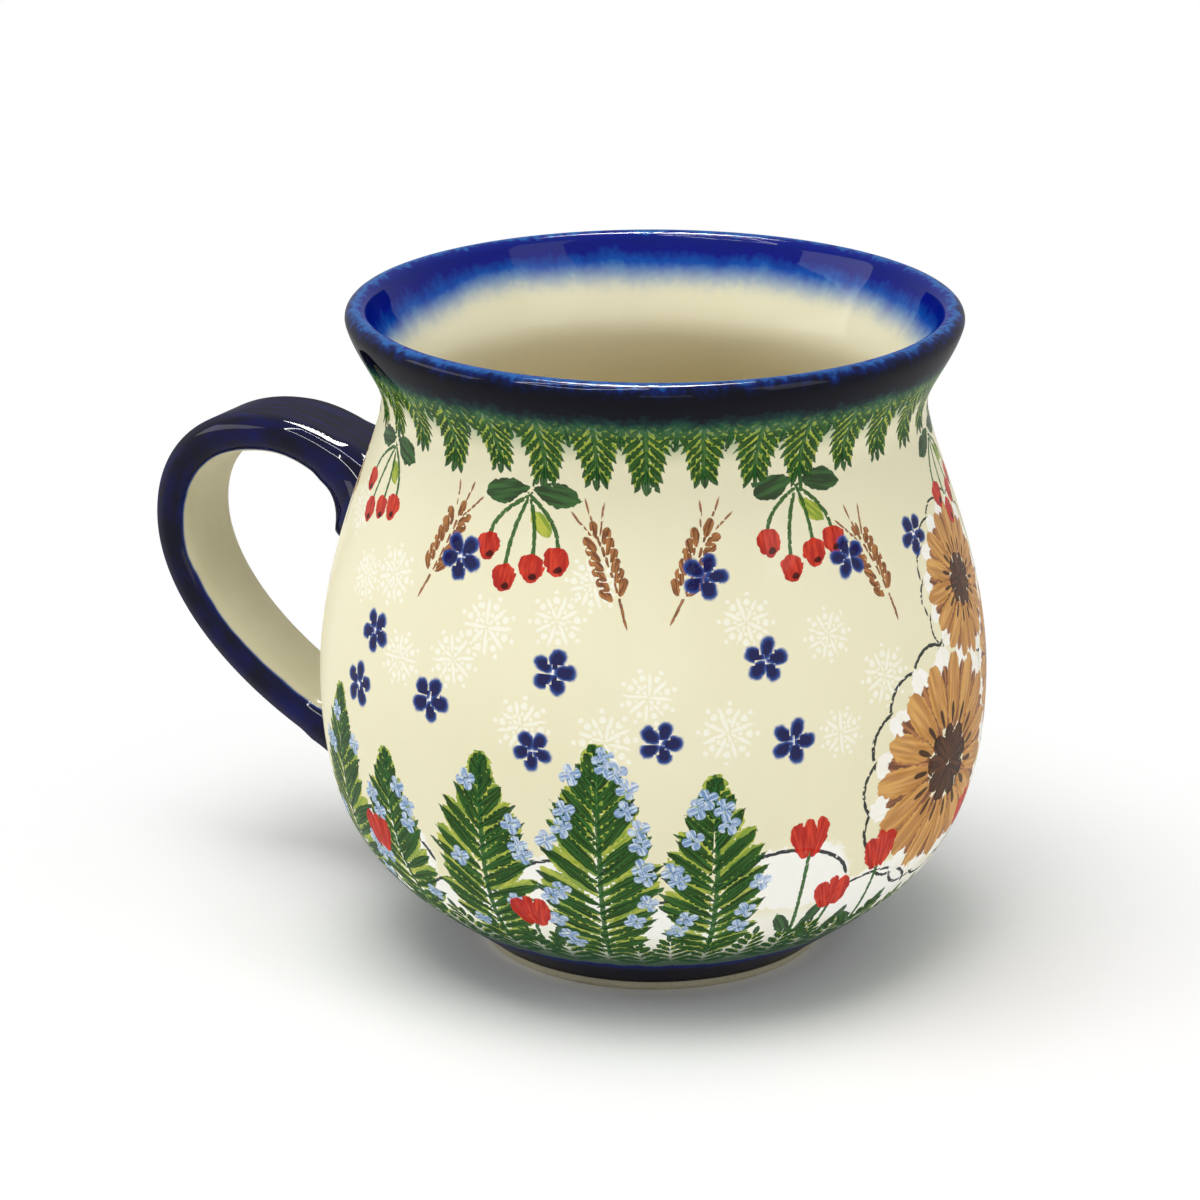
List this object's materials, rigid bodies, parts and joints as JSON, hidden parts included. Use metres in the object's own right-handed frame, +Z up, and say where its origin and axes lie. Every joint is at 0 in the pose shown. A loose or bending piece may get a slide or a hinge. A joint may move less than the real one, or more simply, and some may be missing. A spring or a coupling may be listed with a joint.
{
  "type": "mug",
  "caption": "Pot-bellied stoneware mug with a flared rim, a strap handle joined with slip, a glazed body and a bare foot ring.",
  "frame": {"origin": "on the mug's axis, in the plane that its foot ring stands on", "axes": "+Z up along the mug's axis; the handle is on the -X side, in the XZ plane; Y runs across the handle"},
  "size_m": [0.1269, 0.0936, 0.092],
  "materials": {
    "bare_stoneware": "matt, slightly gritty",
    "slip": "matt",
    "body_glaze": "gloss, clear over painted cream",
    "handle_glaze": "gloss, cobalt",
    "recess_glaze": "gloss, clear"
  },
  "bodies": {
    "root": {"stoneware_body": "bare_stoneware", "stoneware_handle": "bare_stoneware", "upper_slip_joint": "slip", "lower_slip_joint": "slip", "body_glaze_coat": "body_glaze", "handle_glaze_coat": "handle_glaze", "recess_glaze_coat": "recess_glaze"}
  },
  "joints": []
}
